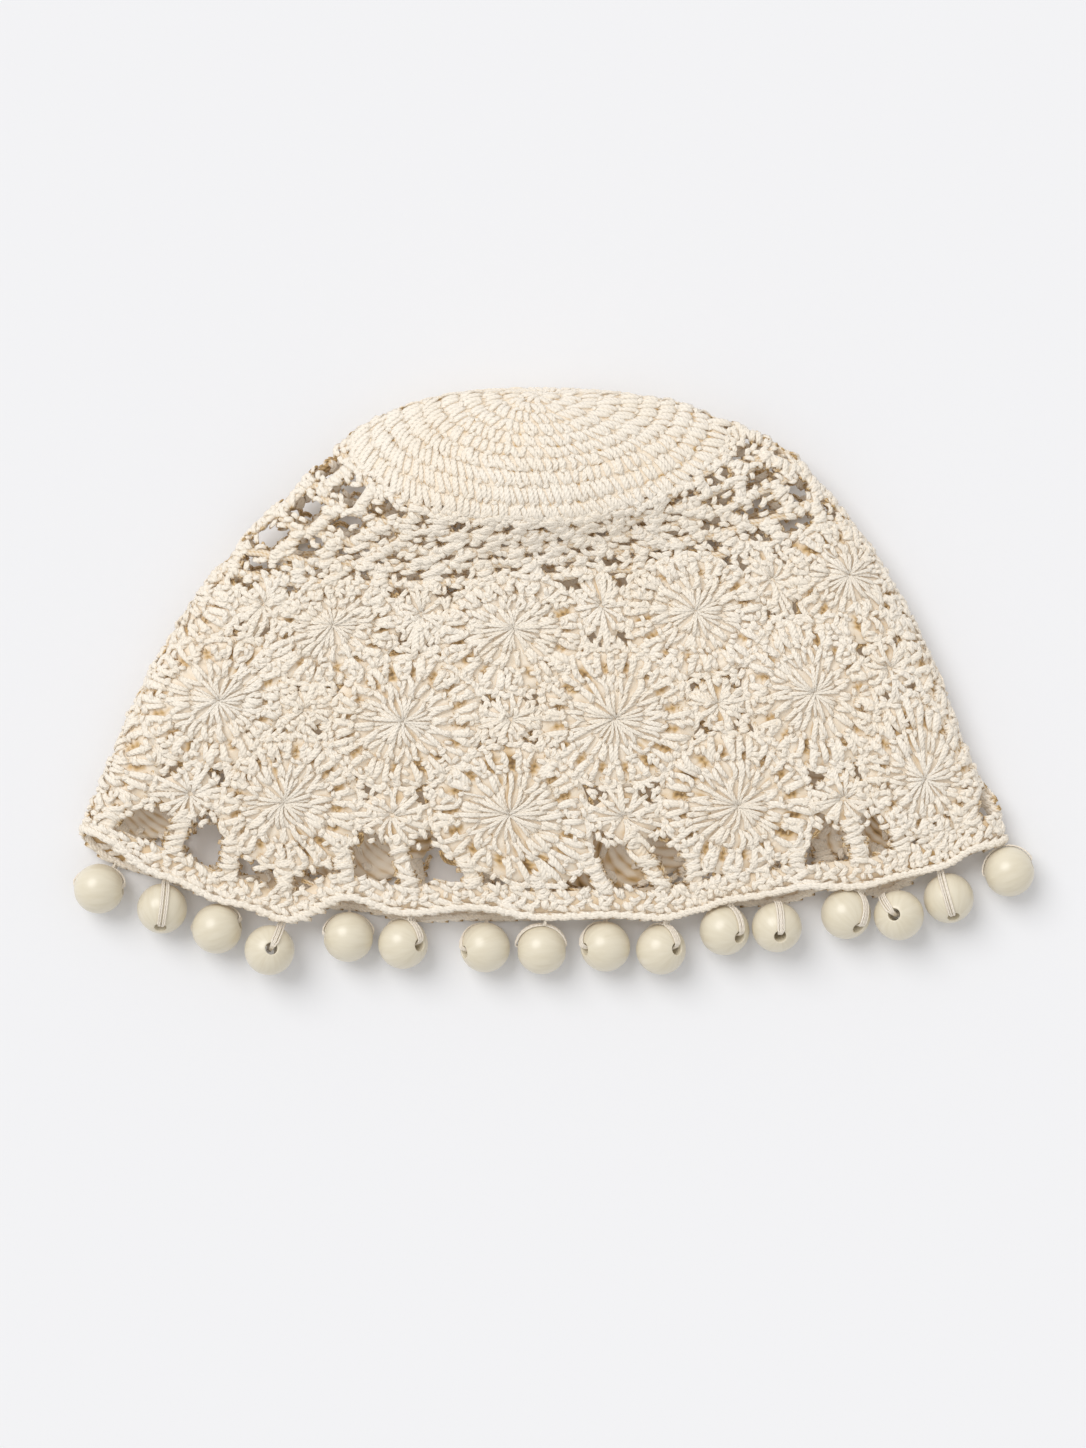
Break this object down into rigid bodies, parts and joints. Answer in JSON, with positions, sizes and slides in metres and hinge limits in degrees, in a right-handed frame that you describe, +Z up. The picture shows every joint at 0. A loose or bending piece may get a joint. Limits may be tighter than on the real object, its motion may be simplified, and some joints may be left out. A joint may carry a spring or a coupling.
{
  "type": "crocheted nightcap with beaded rim",
  "caption": "Soft crocheted cotton cap lying flat, with a solid round crown, an open net, rows of joined round motifs and a scalloped rim hung with round wooden beads.",
  "frame": {"origin": "on the surface under the middle of the cap's box", "axes": "+X across the cap from fold to fold, +Y from the rim to the crown, +Z up from the surface through both layers"},
  "size_m": [0.2906, 0.1764, 0.0301],
  "materials": {
    "cotton_crochet": "soft mercerised cotton yarn, worked in raised stitches",
    "bead_wood": "ivory lacquered wood with a soft gloss",
    "bead_thread": "thin cotton thread"
  },
  "bodies": {
    "root": {"bead_1": "bead_wood", "bead_10": "bead_wood", "bead_11": "bead_wood", "bead_12": "bead_wood", "bead_13": "bead_wood", "bead_14": "bead_wood", "bead_15": "bead_wood", "bead_16": "bead_wood", "bead_2": "bead_wood", "bead_3": "bead_wood", "bead_4": "bead_wood", "bead_5": "bead_wood", "bead_6": "bead_wood", "bead_7": "bead_wood", "bead_8": "bead_wood", "bead_9": "bead_wood", "bead_thread_1": "bead_thread", "bead_thread_10": "bead_thread", "bead_thread_11": "bead_thread", "bead_thread_12": "bead_thread", "bead_thread_13": "bead_thread", "bead_thread_14": "bead_thread", "bead_thread_15": "bead_thread", "bead_thread_16": "bead_thread", "bead_thread_2": "bead_thread", "bead_thread_3": "bead_thread", "bead_thread_4": "bead_thread", "bead_thread_5": "bead_thread", "bead_thread_6": "bead_thread", "bead_thread_7": "bead_thread", "bead_thread_8": "bead_thread", "bead_thread_9": "bead_thread", "crown": "cotton_crochet", "edging": "cotton_crochet", "mesh_band": "cotton_crochet", "motif_lower_1": "cotton_crochet", "motif_lower_2": "cotton_crochet", "motif_lower_3": "cotton_crochet", "motif_lower_4": "cotton_crochet", "motif_lower_5": "cotton_crochet", "motif_lower_6": "cotton_crochet", "motif_lower_7": "cotton_crochet", "motif_lower_8": "cotton_crochet", "motif_middle_1": "cotton_crochet", "motif_middle_2": "cotton_crochet", "motif_middle_3": "cotton_crochet", "motif_middle_4": "cotton_crochet", "motif_middle_5": "cotton_crochet", "motif_middle_6": "cotton_crochet", "motif_middle_7": "cotton_crochet", "motif_middle_8": "cotton_crochet", "motif_upper_1": "cotton_crochet", "motif_upper_2": "cotton_crochet", "motif_upper_3": "cotton_crochet", "motif_upper_4": "cotton_crochet", "motif_upper_5": "cotton_crochet", "motif_upper_6": "cotton_crochet", "motif_upper_7": "cotton_crochet", "motif_upper_8": "cotton_crochet"}
  },
  "joints": []
}
